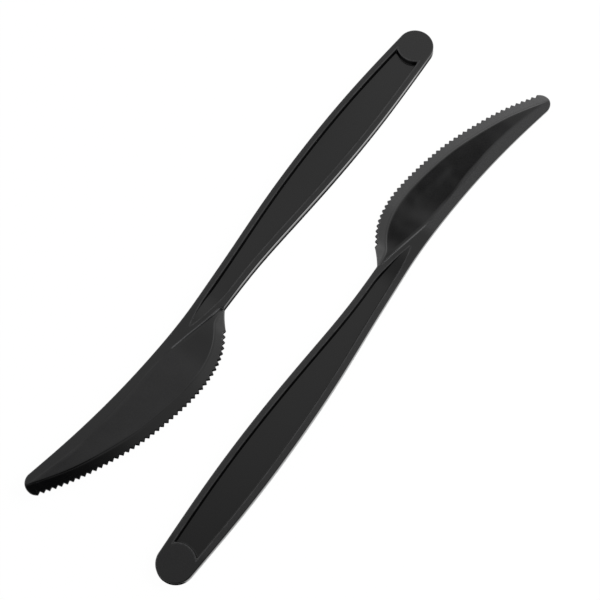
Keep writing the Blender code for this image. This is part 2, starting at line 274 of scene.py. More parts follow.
# Knives: name, CAD node, turn, twist, nudge, shift of the noise, wear and painted sheen
KNIVES = (
    ("knife_left_fine", "knife_left", math.pi - LEAN, 0.0, LEFT_NUDGE, 0.0, LEFT_WEAR_AND_SHEEN),
    ("knife_right_fine", "knife_right", LEAN, RIGHT_TWIST, 0.0, 37.0, RIGHT_WEAR_AND_SHEEN),
)

# Floor, with patches of painted shadow and painted light in reflections: centre, half size (mm), level
FLOOR_HALF = 6.0
FLOOR_GAP = 0.05 * MM
FLOOR_COLOUR = (0.85, 0.85, 0.85, 1.0)
FLOOR_WHITE_SEEN = 0.98
FLOOR_PAINTED_SHADE_AND_LIGHT = (
    # Painted shadow before the right knife's end and beside the left knife's raised teeth, painted
    # light beside the left knife's handle
    ((-92.9, -24.0), (6.1, 6.1), 0.0),
    ((-65.0, 4.0), (40.0, 9.0), 0.0),
    ((36.0, 10.0), (60.0, 9.0), 3.0),
)
PATCH_EDGE = (0.75, 1.0)

# Studio: rise towards the photo's top, dark gap, and soft lobes of light: centre and spread in
# degrees from the zenith to the photo's right and top, then strength
WORLD_RISE = (8.0, 34.0, 0.50, 0.62)
WORLD_DARKEST = 0.01
WORLD_GAP_CENTRE = (0.0, -22.0)
WORLD_GAP_EDGE = (13.0, 19.0)
WORLD_LOBES = (
    ((5.0, 66.0), (45.0, 18.0), 1.45),
    ((-40.0, 24.0), (16.0, 18.0), 1.57),
    ((38.0, 16.0), (17.0, 24.0), 0.85),
    ((-7.0, 3.0), (10.0, 9.0), -0.27),
    ((-2.8, 31.4), (3.7, 4.0), -0.64),
    ((8.5, -12.5), (6.0, 5.0), -0.6),
    ((42.0, -38.0), (30.0, 26.0), -0.9),
    ((80.0, -50.0), (28.0, 40.0), -0.6),
)

# Lamps: name, degrees to the photo's right and top, distance and size (m), power (W)
LAMPS = (("key", 58.0, 25.0, 1.3, 0.9, 30.0),)

KNIFE_LENGTH = HANDLE_LENGTH + BLADE_LENGTH
TIP_X = KNIFE_LENGTH - TIP_RADIUS
PANEL_END = HANDLE_LENGTH + PANEL_PAST_NOTCH
BACK, FRONT = -1.0, 1.0


def smooth_curve(points):
    """The function y(x) of the natural cubic spline through the points, for arrays too."""
    x, y = np.array(points, float).T
    gap = np.diff(x)
    slope = np.diff(y) / gap
    matrix = np.eye(len(x))
    target = np.zeros(len(x))
    for i in range(1, len(x) - 1):
        matrix[i, i - 1 : i + 2] = gap[i - 1], 2.0 * (gap[i - 1] + gap[i]), gap[i]
        target[i] = 6.0 * (slope[i] - slope[i - 1])
    bend = np.linalg.solve(matrix, target)

    def curve(at):
        inside = np.clip(at, x[0], x[-1])
        i = np.clip(np.searchsorted(x, inside) - 1, 0, len(x) - 2)
        left = inside - x[i]
        right = x[i + 1] - inside
        value = (bend[i] * right**3 + bend[i + 1] * left**3) / (6.0 * gap[i])
        value = value + (y[i] / gap[i] - bend[i] * gap[i] / 6.0) * right
        return value + (y[i + 1] / gap[i] - bend[i + 1] * gap[i] / 6.0) * left

    return curve


def slope_of(curve, x, step=0.05):
    return (curve(x + step) - curve(x - step)) / (2.0 * step)


def ease(share):
    share = np.clip(share, 0.0, 1.0)
    return share**2 * (3.0 - 2.0 * share)


def along_blade(share):
    return HANDLE_LENGTH + share * BLADE_LENGTH


def handle_side(side):
    points = [(END_RADIUS, END_CENTRE + side * END_RADIUS)]
    for share, centre, width in HANDLE_SHAPE:
        points.append((share * HANDLE_LENGTH, centre + side * width / 2.0))
    return points


def on_tip(angle):
    return TIP_X + TIP_RADIUS * np.cos(angle), TIP_CENTRE + TIP_RADIUS * np.sin(angle)


BACK_LINE = smooth_curve(
    handle_side(BACK)
    + [(along_blade(share), y) for share, y in BACK_SHAPE]
    + [on_tip(TIP_BACK_ANGLE)]
)
HANDLE_FRONT = smooth_curve(handle_side(FRONT))
TOOTH_POINTS = [(along_blade(share), y) for share, y in (FIRST_TOOTH,) + TOOTH_SHAPE]
TOOTH_POINTS.append(on_tip(TIP_TOOTH_ANGLE))
TOOTH_LINE = smooth_curve(TOOTH_POINTS)
HEEL_END = along_blade(FIRST_TOOTH[0])
LAST_TOOTH = TOOTH_POINTS[-1][0]


def heel_line(x):
    share = (x - HANDLE_LENGTH) / (HEEL_END - HANDLE_LENGTH)
    start = HANDLE_FRONT(HANDLE_LENGTH)
    straight = start + share * (TOOTH_LINE(HEEL_END) - start)
    return straight - HEEL_HOLLOW * 4.0 * share * (1.0 - share)


def front_line(x):
    return np.where(
        x <= HANDLE_LENGTH, HANDLE_FRONT(x), np.where(x <= HEEL_END, heel_line(x), TOOTH_LINE(x))
    )


THICKNESS = smooth_curve(
    [(0.0, HANDLE_HEIGHT_END), (0.93 * HANDLE_LENGTH, HANDLE_HEIGHT_NECK)]
    + [(along_blade(share), height) for share, height in BACK_THICKNESS]
)
CREASE_FALL = smooth_curve([(along_blade(share), drop) for share, drop in CREASE_DROP])
CREASE_BACK = smooth_curve(
    [(HANDLE_LENGTH, HANDLE_SHAPE[-1][2] - CREASE_INSET)]
    + [(along_blade(share), width) for share, width in CREASE_SHAPE]
)


def bevel_points():
    points = []
    for share, inset in HEEL_BEVEL_SHAPE:
        x = along_blade(share)
        points.append((x, float(front_line(x)) - inset))
    for x, y in TOOTH_POINTS[2:]:
        slope = slope_of(TOOTH_LINE, min(x, LAST_TOOTH - 0.1))
        inward = Vector((slope, -1.0)).normalized() * BEVEL_WIDTH
        points.append((x + inward.x, y + inward.y))
    return points


BEVEL_POINTS = bevel_points()
BEVEL_CURVE = smooth_curve(BEVEL_POINTS)


def bevel_line(x):
    last = BEVEL_POINTS[-1][0]
    onward = (x - last) * slope_of(BEVEL_CURVE, last - 0.1)
    return np.where(x <= last, BEVEL_CURVE(x), BEVEL_CURVE(last) + onward)


def lift(x):
    past = x - (HANDLE_LENGTH - RISE_START)
    slope = math.tan(BLADE_RISE)
    arc = slope * np.clip(past, 0.0, RISE_RADIUS_LENGTH) ** 2 / (2.0 * RISE_RADIUS_LENGTH)
    return arc + slope * np.maximum(past - RISE_RADIUS_LENGTH, 0.0)


def rails(x):
    """Y of the crease's top and foot and of the bevel's inner line."""
    bevel = bevel_line(x)
    room = np.maximum(bevel - BACK_LINE(x), 0.0)
    crease = BACK_LINE(x) + np.minimum(CREASE_BACK(x), CREASE_ROOM * room)
    foot = np.minimum(crease + CREASE_WIDTH, crease + 0.5 * np.maximum(bevel - crease, 0.0))
    start = CREASE_INSET * np.exp(-np.clip(x - HANDLE_LENGTH, -3.0, 20.0) / CREASE_START_REACH)
    return crease + start, foot + start, bevel


def panel_sides(x):
    """Y of the panel's back and front edges at the top surface."""
    point = np.maximum(x - HANDLE_LENGTH, 0.0) / PANEL_PAST_NOTCH
    back = BACK_LINE(x) + RIM_WIDTH + PANEL_POINT_CURVE * point**2
    past = np.clip((x - HANDLE_LENGTH + PANEL_FRONT_EASE) / PANEL_FRONT_EASE, 0.0, 1.0)
    leave = (CREASE_INSET - CREASE_WIDTH / 2.0) * past**2
    plain = HANDLE_FRONT(x) - RIM_WIDTH - leave
    crease = BACK_LINE(x) + CREASE_BACK(np.maximum(x, HANDLE_LENGTH))
    return back, np.where(x <= HANDLE_LENGTH, plain, crease - RIM_WIDTH + CREASE_WIDTH / 2.0)


def panel_depth(x):
    return PANEL_DEPTH * ease((PANEL_END - x) / PANEL_RAMP_LENGTH)


def wall_scale(x):
    """How much narrower the panel's walls get as the panel rises to its point."""
    return np.maximum(panel_depth(x) / PANEL_DEPTH, SHALLOWEST_WALL)


def wall_profile(draft, lip, floor, depth):
    """Distance from the edge, and share of the depth, down a sunk wall with rounded lip and floor."""
    steep = math.pi / 2.0 - draft
    out, down = [], []
    for turn in np.linspace(0.0, steep, LIP_POINTS):
        out.append(lip * math.sin(turn))
        down.append(lip * (1.0 - math.cos(turn)))
    rest = depth - down[-1] - floor * (1.0 - math.cos(steep))
    start_out, start_down = out[-1] + rest * math.tan(draft), down[-1] + rest
    for turn in np.linspace(steep, 0.0, PANEL_FLOOR_POINTS):
        out.append(start_out + floor * (math.sin(steep) - math.sin(turn)))
        down.append(start_down + floor * (math.cos(turn) - math.cos(steep)))
    return np.array(out), np.array(down) / depth


SIDE_OUT, SIDE_DOWN = wall_profile(PANEL_DRAFT, PANEL_LIP_RADIUS, PANEL_FLOOR_RADIUS, PANEL_DEPTH)
DISC_OUT, DISC_DOWN = wall_profile(DISC_DRAFT, PANEL_LIP_RADIUS, PANEL_FLOOR_RADIUS, PANEL_DEPTH)


def sunk(x, y):
    """Depth of the panel below the top surface."""
    back, front = panel_sides(x)
    from_disc = np.hypot(x - END_RADIUS, y - END_CENTRE) - END_RADIUS
    scale = wall_scale(x)
    share = np.interp((y - back) / scale, SIDE_OUT, SIDE_DOWN)
    share = share * np.interp((front - y) / scale, SIDE_OUT, SIDE_DOWN)
    share = share * np.interp(from_disc, DISC_OUT, DISC_DOWN)
    return np.where(x > END_RADIUS, share * panel_depth(x), 0.0)


def top_height(x, y):
    """Height of the top surface, panel included."""
    top = lift(x) + THICKNESS(x) - sunk(x, y)
    crease, foot, bevel = rails(x)
    step = CREASE_FALL(x) * ease((y - crease) / np.maximum(foot - crease, 1e-6))
    face = np.maximum(bevel - foot, 1e-6)
    share = np.clip((y - foot) / face, 0.0, 1.0)
    fall = face * (FACE_FALL * share + FACE_HOLLOW * 4.0 * share * (1.0 - share))
    square = np.cos(np.arctan(slope_of(bevel_line, x)))
    room = front_line(np.minimum(x, LAST_TOOTH)) - bevel
    soft = np.clip(BEVEL_SOFT_SHARE * room, 0.05, BEVEL_SOFTNESS)
    past = y - bevel
    eased = np.where(np.abs(past) < soft, (past + soft) ** 2 / (4.0 * soft), np.maximum(past, 0.0))
    slant = eased * square * math.tan(BEVEL_ANGLE)
    return np.where(x <= HANDLE_LENGTH, top, top - step - fall - slant)


def rounded(corners):
    """Points along a line whose corners (x, y, radius) are rounded."""
    spots = [corners[0][:2]]
    for (x0, y0, _), (x1, y1, radius), (x2, y2, _) in zip(corners, corners[1:], corners[2:]):
        before = Vector((x1 - x0, y1 - y0))
        after = Vector((x2 - x1, y2 - y1))
        turn = before.angle_signed(after, 0.0)
        if radius == 0.0 or abs(turn) < STRAIGHT_TURN:
            spots.append((x1, y1))
            continue
        room = CORNER_SHARE * min(before.length, after.length)
        reach = min(radius * math.tan(abs(turn) / 2.0), room)
        radius = reach / math.tan(abs(turn) / 2.0)
        before.normalize()
        after.normalize()
        side = math.copysign(1.0, -turn)
        start = Vector((x1, y1)) - before * reach
        centre = start + Vector((-before.y, before.x)) * side * radius
        for i in range(EDGE_ARC + 1):
            arm = start - centre
            arm.rotate(Matrix.Rotation(-turn * i / EDGE_ARC, 2))
            spots.append(tuple(centre + arm))
    spots.append(corners[-1][:2])
    return spots


def tooth_corners():
    """Corners of the toothed line, from the first tooth's tip to the last one's."""
    xs = np.linspace(HEEL_END, LAST_TOOTH, TOOTH_LINE_SAMPLES)
    ys = TOOTH_LINE(xs)
    run = np.concatenate([[0.0], np.cumsum(np.hypot(np.diff(xs), np.diff(ys)))])
    pitch = run[-1] / (TOOTH_COUNT - 1)
    half = math.atan2(pitch / 2.0, TOOTH_DEPTH)
    tip_extra = TOOTH_TIP_RADIUS * (1.0 / math.sin(half) - 1.0)
    root_extra = TOOTH_ROOT_RADIUS * (1.0 / math.sin(half) - 1.0)
    corners = []
    for i in range(2 * TOOTH_COUNT - 1):
        x = float(np.interp(pitch * i / 2.0, run, xs))
        slope = slope_of(TOOTH_LINE, min(max(x, HEEL_END + 0.1), LAST_TOOTH - 0.1))
        outward = Vector((-slope, 1.0)).normalized()
        if i % 2:
            spot = Vector((x, TOOTH_LINE(x))) - outward * (TOOTH_DEPTH + root_extra)
            corners.append((spot.x, spot.y, TOOTH_ROOT_RADIUS))
        else:
            spot = Vector((x, TOOTH_LINE(x))) + outward * tip_extra
            corners.append((spot.x, spot.y, TOOTH_TIP_RADIUS))
    return corners


def filled_in(points, step):
    """The points, with more put in wherever two lie further apart than the step."""
    dense = [points[0]]
    for start, end in zip(points, points[1:]):
        count = max(int(math.ceil(math.dist(start, end) / step)), 1)
        for i in range(1, count + 1):
            share = i / count
            dense.append(tuple(a + (b - a) * share for a, b in zip(start, end)))
    return dense


def disc_bulge(x, y):
    """How far a row bends back at y to run round the thumb disc's edge."""
    back, front = panel_sides(x)
    radius = np.maximum(x - END_RADIUS, END_RADIUS * BULGE_TIGHTEST)
    away = np.clip(y, back, front) - END_CENTRE
    full = radius - np.sqrt(np.maximum(radius**2 - away**2, 0.0))
    share = ease((x - BULGE_START) / (BULGE_FULL - BULGE_START))
    share = share * ease((BULGE_END - x) / (BULGE_END - BULGE_HOLD))
    return full * share


def column_targets(x):
    """Wanted Y of every column, for a matrix of x with one column each."""
    edge = BACK_LINE(x[:, :1]) + RIM_EDGE_RADIUS
    back, front = panel_sides(x)
    crease, foot, bevel = rails(x)
    narrow = BACK_LINE(x) + POINT_SHARE * (crease - BACK_LINE(x))
    back = np.where(x > PANEL_END, narrow, back)
    front = np.where(x > PANEL_END, narrow, front)
    middle = (back + front) / 2.0
    scale = wall_scale(x)
    last = (SIDE_OUT[-1] + SUPPORT) * scale
    left, right = back + last, front - last
    lowest, highest = np.minimum(left, middle), np.maximum(right, middle)
    outs = (-SUPPORT, *SIDE_OUT, SIDE_OUT[-1] + SUPPORT)
    wanted = [edge + SUPPORT, 0.5 * (edge + back)]
    wanted += [np.minimum(back + out * scale, middle) for out in outs]
    wanted += [np.clip(left + (right - left) * share, lowest, highest) for share in PANEL_SHARES]
    wanted += [np.maximum(front - out * scale, middle) for out in outs[::-1]]
    wanted += [front + (crease - front) * share for share in RIM_SHARES]
    wanted += [crease + (foot - crease) * share for share in CREASE_SHARES]
    wanted += [foot + (bevel - foot) * share for share in FACE_SHARES]
    wanted += [bevel + BEVEL_SOFTNESS * share for share in BEVEL_SHARES]
    wanted += [bevel + (front_line(x) - TEETH_INSET - bevel) * share for share in TOOTH_SHARES]
    return np.stack([y[:, min(j, y.shape[1] - 1)] for j, y in enumerate(wanted)], axis=1)


COLUMNS = column_targets(np.full((1, 1), HANDLE_LENGTH)).shape[1]


def outward_of(points):
    """Left-hand normals of a line of points."""
    step = np.diff(points, axis=0)
    step /= np.linalg.norm(step, axis=1)[:, None]
    normal = np.stack([-step[:, 1], step[:, 0]], axis=1)
    mean = np.vstack([normal[:1], normal[:-1] + normal[1:], normal[-1:]])
    return mean / np.linalg.norm(mean, axis=1)[:, None]


def side_normal(line, x, side):
    slope = slope_of(line, x)
    normal = np.stack([-slope * side, np.full_like(x, side)], axis=1)
    return normal / np.linalg.norm(normal, axis=1)[:, None]


def back_edge(x):
    """Outline points and normals of the back at x, the tip's circle included."""
    x = np.asarray(x, float)
    points = np.stack([x, BACK_LINE(x)], axis=1)
    normals = side_normal(BACK_LINE, x, BACK)
    turn = -np.arccos(np.clip((x - TIP_X) / TIP_RADIUS, -1.0, 1.0))
    on_circle = x > on_tip(TIP_BACK_ANGLE)[0]
    circle = np.stack([np.cos(turn), np.sin(turn)], axis=1)
    points[on_circle] = (np.array([TIP_X, TIP_CENTRE]) + TIP_RADIUS * circle)[on_circle]
    normals[on_circle] = circle[on_circle]
    return points, normals


def rimmed(front, front_n, back, back_n, place):
    """Rows of the mesh whose front edge is as round as the rims."""
    inner = front - front_n * (RIM_EDGE_RADIUS + SUPPORT)
    return front, front_n, back, back_n, inner, place, np.full(len(place), RIM_EDGE_RADIUS)


def end_rows():
    """Rows round the handle's end, as far as the middle of the thumb disc."""
    turns = np.linspace(0.0, math.pi / 2.0, END_ROWS + 1)[:-1]
    arm = np.stack([-np.cos(turns), np.sin(turns)], axis=1)
    back_arm = arm * (1.0, -1.0)
    centre = np.array([END_RADIUS, END_CENTRE])
    front = centre + END_RADIUS * arm
    return rimmed(front, arm, centre + END_RADIUS * back_arm, back_arm, front[:, 0])


def handle_rows():
    """Rows of the handle, close together where the disc's edge drops into the panel."""
    disc = np.concatenate([DISC_ROWS_BEFORE, DISC_OUT, DISC_ROWS_AFTER]) + 2.0 * END_RADIUS
    before = np.arange(END_RADIUS, 2.0 * END_RADIUS - ROW_ROOM, END_ROW_STEP)
    after = np.linspace(disc[-1] + ROW_ROOM, HANDLE_LENGTH - HANDLE_ROWS_STOP, HANDLE_ROWS)
    x = np.concatenate([before, disc, after])
    panel_back, panel_front = panel_sides(x)
    x_back, x_front = x - disc_bulge(x, panel_back), x - disc_bulge(x, panel_front)
    front = np.stack([x_front, HANDLE_FRONT(x_front)], axis=1)
    back = np.stack([x_back, BACK_LINE(x_back)], axis=1)
    front_n = side_normal(HANDLE_FRONT, x_front, FRONT)
    return rimmed(front, front_n, back, side_normal(BACK_LINE, x_back, BACK), x)


def toothed_line():
    """The notch, the heel and the teeth as one line of points with rounded corners."""
    start = HANDLE_LENGTH - NOTCH_START
    heel = np.linspace(HANDLE_LENGTH, HEEL_END, HEEL_ROWS + 2)[1:-1]
    corners = [(start, float(HANDLE_FRONT(start)), 0.0)]
    corners.append((HANDLE_LENGTH, float(HANDLE_FRONT(HANDLE_LENGTH)), NOTCH_RADIUS))
    corners += [(float(at), float(heel_line(at)), 0.0) for at in heel]
    corners += tooth_corners()
    corners.append((*on_tip(TIP_TOOTH_ANGLE * TIP_FIRST_SHARE), 0.0))
    return np.array(filled_in(rounded(corners), TOOTH_ROW_STEP))


def untoothed_line(step=0.01, lead=3.0, tip_points=300, reach=125):
    """The front line without its teeth, as close points, with normals smoothed along it."""
    x = np.arange(HANDLE_LENGTH - NOTCH_START - lead, LAST_TOOTH, step)
    turns = np.linspace(TIP_TOOTH_ANGLE, 0.0, tip_points)
    points = np.vstack([np.stack([x, front_line(x)], axis=1), np.stack(on_tip(turns), axis=1)])
    normal = outward_of(points)
    bell = np.exp(-np.linspace(-2.5, 2.5, 2 * reach + 1) ** 2)
    first, last = np.repeat(normal[:1], reach, 0), np.repeat(normal[-1:], reach, 0)
    padded = np.vstack([first, normal, last])
    soft = np.stack([np.convolve(padded[:, i], bell, "valid") for i in (0, 1)], axis=1)
    return points, soft / np.linalg.norm(soft, axis=1)[:, None]


def tooth_rows():
    """Rows of the heel and the blade, one for each point of the toothed line."""
    edge = toothed_line()
    base, soft_n = untoothed_line()
    reach = RIM_EDGE_RADIUS + SUPPORT
    grow = ease((base[:, 0] - HANDLE_LENGTH) / (HEEL_END - HANDLE_LENGTH))
    inset = reach + (TEETH_INSET - reach) * grow
    closest = np.array([int(np.argmin(((base - spot) ** 2).sum(1))) for spot in edge])
    closest = np.maximum.accumulate(closest)
    inner = base[closest] - soft_n[closest] * inset[closest][:, None]
    inner[:, 0] = np.maximum.accumulate(inner[:, 0])
    back, back_n = back_edge(inner[:, 0])
    radius = np.full(len(edge), TOOTH_EDGE_RADIUS)
    return edge, outward_of(edge), back, back_n, inner, inner[:, 0], radius


def tip_arms(angle):
    """Unit arms from the tip's centre, from past the angle round to the tip's end."""
    turns = np.linspace(angle, 0.0, TIP_ROWS + 1)[1:]
    return np.stack([np.cos(turns), np.sin(turns)], axis=1)


def tip_rows(last_back):
    """Rows round the tip, from the last tooth and the last point of the back to its end."""
    tip = np.array([TIP_X, TIP_CENTRE])
    arm = tip_arms(TIP_TOOTH_ANGLE * TIP_FIRST_SHARE)
    back_arm = tip_arms(math.atan2(last_back[1] - TIP_CENTRE, last_back[0] - TIP_X))
    left = np.linspace(1.0, 0.0, TIP_ROWS + 1)[1:] ** TIP_THINNING
    inset = RIM_EDGE_RADIUS + (TEETH_INSET - RIM_EDGE_RADIUS) * left
    inner = tip + arm * (TIP_RADIUS - inset)[:, None]
    radius = RIM_EDGE_RADIUS + (TOOTH_EDGE_RADIUS - RIM_EDGE_RADIUS) * left
    front, back = tip + TIP_RADIUS * arm, tip + TIP_RADIUS * back_arm
    return front, arm, back, back_arm, inner, inner[:, 0], radius


def rows():
    """Front and back outline with normals, first inner points, places and edge radii, by row."""
    teeth = tooth_rows()
    parts = (end_rows(), handle_rows(), teeth, tip_rows(teeth[2][-1]))
    return [np.concatenate(values) for values in zip(*parts)]


def in_order(wanted, low, high):
    """The wanted columns pushed apart, in order, between two limits."""
    gap = np.minimum(COLUMN_GAP, (high - low) / (wanted.shape[1] + 2.0))[:, None]
    index = np.arange(1, wanted.shape[1] + 1)[None, :]
    spread = np.maximum.accumulate(wanted - index * gap, axis=1)
    top = high[:, None] - gap * (wanted.shape[1] + 1)
    return np.clip(spread, low[:, None], np.maximum(top, low[:, None])) + index * gap


def side_ring(edge, normal, radius, base, height):
    """Foot to inner edge of one side wall: rounded foot, drafted wall, rounded top edge."""
    tall = height - base
    foot = np.minimum(FOOT_RADIUS, FOOT_SHARE * tall)
    lean = math.tan(WALL_DRAFT)
    rings = []
    for turn in (0.0, math.pi / 6.0, math.pi / 3.0, math.pi / 2.0):
        up = foot * (1.0 - math.cos(turn))
        out = (tall - radius - up) * lean - foot * (1.0 - math.sin(turn))
        rings.append((out, base + up))
    for turn in np.linspace(0.0, math.pi / 2.0, EDGE_ARC + 1):
        rings.append((-radius * (1.0 - math.cos(turn)), height - radius * (1.0 - math.sin(turn))))
    return [np.column_stack([edge + normal * out[:, None], z]) for out, z in rings]


def ledge_ring(edge, normal, radius, base, height, width):
    """Like side_ring, with the thin ledge of the mould's parting line along the foot."""
    wall = side_ring(edge, normal, radius, base, height)[3:]
    lean = (height - base - radius) * math.tan(WALL_DRAFT)
    ledge = (
        (lean + width - LEDGE_FOOT, base),
        (lean + width, base + LEDGE_FOOT),
        (lean + width, base + LEDGE_HEIGHT),
        (lean, base + (LEDGE_HEIGHT + width)),
    )
    return [np.column_stack([edge + normal * out[:, None], z]) for out, z in ledge] + wall


def knife_grid():
    """Points of the closed surface, as rows across the knife, and which columns face up."""
    front, front_n, back, back_n, inner, place, radius = rows()
    back_radius = np.full(len(place), RIM_EDGE_RADIUS)
    start = back - back_n * back_radius[:, None]
    low, high = start[:, 1], inner[:, 1]
    bent = (place > BULGE_START) & (place < BULGE_END)
    spots = np.repeat(place[:, None], COLUMNS, axis=1)
    for _ in range(BULGE_ROUNDS):
        wanted = in_order(column_targets(spots), low, high)
        share = (wanted - low[:, None]) / np.maximum(high - low, 1e-9)[:, None]
        straight = start[:, :1] + (inner[:, :1] - start[:, :1]) * np.clip(share, 0.0, 1.0)
        curved = place[:, None] - disc_bulge(place[:, None], wanted)
        spots = np.where(bent[:, None], curved, straight)
    top = np.stack([spots, wanted, top_height(spots, wanted)], axis=2)

    end = front - front_n * radius[:, None]
    next_end = front - front_n * (radius + SUPPORT)[:, None]
    fade = ease((LEDGE_FADE[1] - front[:, 0]) / (LEDGE_FADE[1] - LEDGE_FADE[0]))
    ledge = LEDGE_WIDTH * (fade * ease(front[:, 0] / END_RADIUS))
    back_ring = side_ring(back, back_n, back_radius, lift(back[:, 0]), top_height(*start.T))
    front_ring = ledge_ring(front, front_n, radius, lift(front[:, 0]), top_height(*end.T), ledge)
    inner_ring = [np.column_stack([part, top_height(*part.T)]) for part in (inner, next_end)]
    front_foot, back_foot = front_ring[0][:, :2], back_ring[0][:, :2]
    under = [inner] + [front_foot + (back_foot - front_foot) * share for share in UNDER_SHARES]
    under = [np.column_stack([flat, lift(flat[:, 0])]) for flat in under]
    ring = back_ring + [top[:, j] for j in range(COLUMNS)] + inner_ring + front_ring[::-1] + under

    arc = np.linspace(0.0, 1.0, EDGE_ARC + 1)
    on_wall = np.zeros(len(back_ring) - len(arc))
    on_top = np.ones(COLUMNS + len(inner_ring))
    past_edge = np.zeros(len(front_ring) - len(arc) + len(under))
    return np.stack(ring, axis=1), np.concatenate([on_wall, arc, on_top, arc[::-1], past_edge])


def warped(points, twist):
    """The points with the blade turned about its back line, growing towards the tip."""
    x, y, z = points[..., 0], points[..., 1], points[..., 2]
    angle = twist * ease((x - HANDLE_LENGTH) / TWIST_LENGTH)
    back = BACK_LINE(x)
    return np.stack([x, y, z - (y - back) * np.tan(angle)], axis=-1)


def in_place(points, node, turn, nudge):
    """The points in metres, turned as the CAD node lies and set in the middle of its box."""
    low, high = (np.array(corner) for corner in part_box(node))
    cos, sin = math.cos(turn), math.sin(turn)
    x, y, z = points.T * MM
    turned = np.stack([x * cos - y * sin, x * sin + y * cos, z], axis=1)
    shift = (low + high - turned.min(axis=0) - turned.max(axis=0)) / 2.0
    shift[1] += nudge
    shift[2] = low[2] - turned[:, 2].min()
    return turned + shift


def knife_mesh(name, node, turn, twist, nudge):
    """The knife's closed mesh in its place, with the marks that the material reads."""
    grid, upward = knife_grid()
    count, width, _ = grid.shape
    row = np.arange(count - 1)[:, None] * width
    here = np.arange(width)[None, :]
    after = (here + 1) % width
    faces = np.stack([row + here, row + width + here, row + width + after, row + after], axis=2)
    flat = grid.reshape(-1, 3)
    points = in_place(warped(flat, twist), node, turn, nudge)
    data = bpy.data.meshes.new(name)
    data.from_pydata(points.tolist(), [], faces.reshape(-1, 4).tolist())
    for title, values in surface_marks(flat, np.tile(upward, count)).items():
        kind, field = ("FLOAT_VECTOR", "vector") if values.ndim == 2 else ("FLOAT", "value")
        layer = data.attributes.new(title, kind, "POINT")
        layer.data.foreach_set(field, values.ravel().astype(np.float32))
    close_up(data)
    data.shade_smooth()
    return data


def surface_marks(points, on_top):
    """What the material needs to know at each point of the knife, in millimetres and shares."""
    x, y, _ = points.T
    crease, foot, bevel = rails(x)
    back, front = panel_sides(x)
    from_disc = np.hypot(x - END_RADIUS, y - END_CENTRE) - END_RADIUS
    lip = np.maximum(np.maximum(back - y, y - front), -from_disc)
    lip = np.where(x > PANEL_END, LIP_FAR, np.where(x < END_RADIUS, LIP_FAR, lip))
    edge = np.minimum(y - BACK_LINE(x), front_line(np.minimum(x, LAST_TOOTH)) - y)
    edge = np.where(x < END_RADIUS, -from_disc, edge)
    tip = TIP_RADIUS - np.hypot(x - TIP_X, y - TIP_CENTRE)
    edge = np.where(x > TIP_X, np.minimum(edge, tip), edge)
    past_notch = ease((x - HANDLE_LENGTH) / MARKS_RUN)
    on_face = ease((y - foot + FACE_BEFORE) / FACE_RUN)
    on_face = on_face * ease((bevel - y + BEVEL_HALF) / (2.0 * BEVEL_HALF))
    on_bevel = ease((y - bevel + BEVEL_HALF) / (2.0 * BEVEL_HALF))
    depth = np.maximum(panel_depth(x), 1e-6)
    sunk_share = np.where(x <= PANEL_END, sunk(x, y) / depth, 0.0)
    return {
        "knife_mm": points,
        "lip_mm": np.clip(lip, LIP_DEEPEST, LIP_FAR),
        "edge_mm": edge,
        "crease_mm": np.clip(y - crease, -CREASE_FAR, CREASE_FAR),
        "panel_share": sunk_share * on_top,
        "face_share": on_face * past_notch * on_top,
        "bevel_share": on_bevel * past_notch * on_top,
        "top_share": on_top,
    }


def close_up(data):
    """Join points in one place, fill the slits at both ends, and turn all faces outwards."""
    mesh = bmesh.new()
    mesh.from_mesh(data)
    bmesh.ops.remove_doubles(mesh, verts=mesh.verts, dist=1e-7)
    bmesh.ops.dissolve_degenerate(mesh, edges=mesh.edges, dist=1e-7)
    slits = [edge for edge in mesh.edges if edge.is_boundary]
    bmesh.ops.holes_fill(mesh, edges=slits, sides=0)
    bmesh.ops.recalc_face_normals(mesh, faces=mesh.faces)
    mesh.to_mesh(data)
    mesh.free()


def feed(tree, socket, value):
    """Link a socket to the socket, or set a number on it."""
    if isinstance(value, bpy.types.NodeSocket):
        tree.links.new(value, socket)
    else:
        socket.default_value = value


def calc(tree, operation, *values):
    """Output of a Math node on the values, which are numbers or sockets."""
    node = tree.nodes.new("ShaderNodeMath")
    node.operation = operation
    for socket, value in zip(node.inputs, values):
        feed(tree, socket, value)
    return node.outputs[0]


def product(tree, *values):
    """The values, which are numbers or sockets, multiplied."""
    total = values[0]
    for value in values[1:]:
        total = calc(tree, "MULTIPLY", total, value)
    return total


def vector_math(tree, operation, vector, other):
    """The Vector Math node of the operation on two vectors."""
    node = tree.nodes.new("ShaderNodeVectorMath")
    node.operation = operation
    feed(tree, node.inputs[0], vector)
    feed(tree, node.inputs[1], other)
    return node


def dot(tree, vector, axis):
    return vector_math(tree, "DOT_PRODUCT", vector, axis).outputs["Value"]


def smooth_range(tree, value, start, end, low=0.0, high=1.0):
    """The value eased from low to high while it runs from start to end."""
    node = tree.nodes.new("ShaderNodeMapRange")
    node.interpolation_type = "SMOOTHSTEP"
    for socket, number in zip(node.inputs, (value, start, end, low, high)):
        feed(tree, socket, number)
    return node.outputs[0]


def between(tree, share, low, high):
    """From low to high as the share runs from 0 to 1."""
    return smooth_range(tree, share, 0.0, 1.0, low, high)


def squared_distance(tree, places, centre, spread):
    """Square of the distance of the places from the centre, in units of the spread."""
    total = 0.0
    for place, middle, width in zip(places, centre, spread):
        away = calc(tree, "DIVIDE", calc(tree, "SUBTRACT", place, middle), width)
        total = calc(tree, "ADD", total, product(tree, away, away))
    return total


def lobe(tree, places, centre, spread, strength):
    """A soft round hill: strength at the centre, falling off over the spread."""
    away = squared_distance(tree, places, centre, spread)
    return product(tree, calc(tree, "EXPONENT", product(tree, away, -1.0)), strength)


def ridge(tree, value, middle, width):
    """1 where the value is the middle, falling to 0 over the width."""
    return lobe(tree, (value,), (middle,), (width,), 1.0)


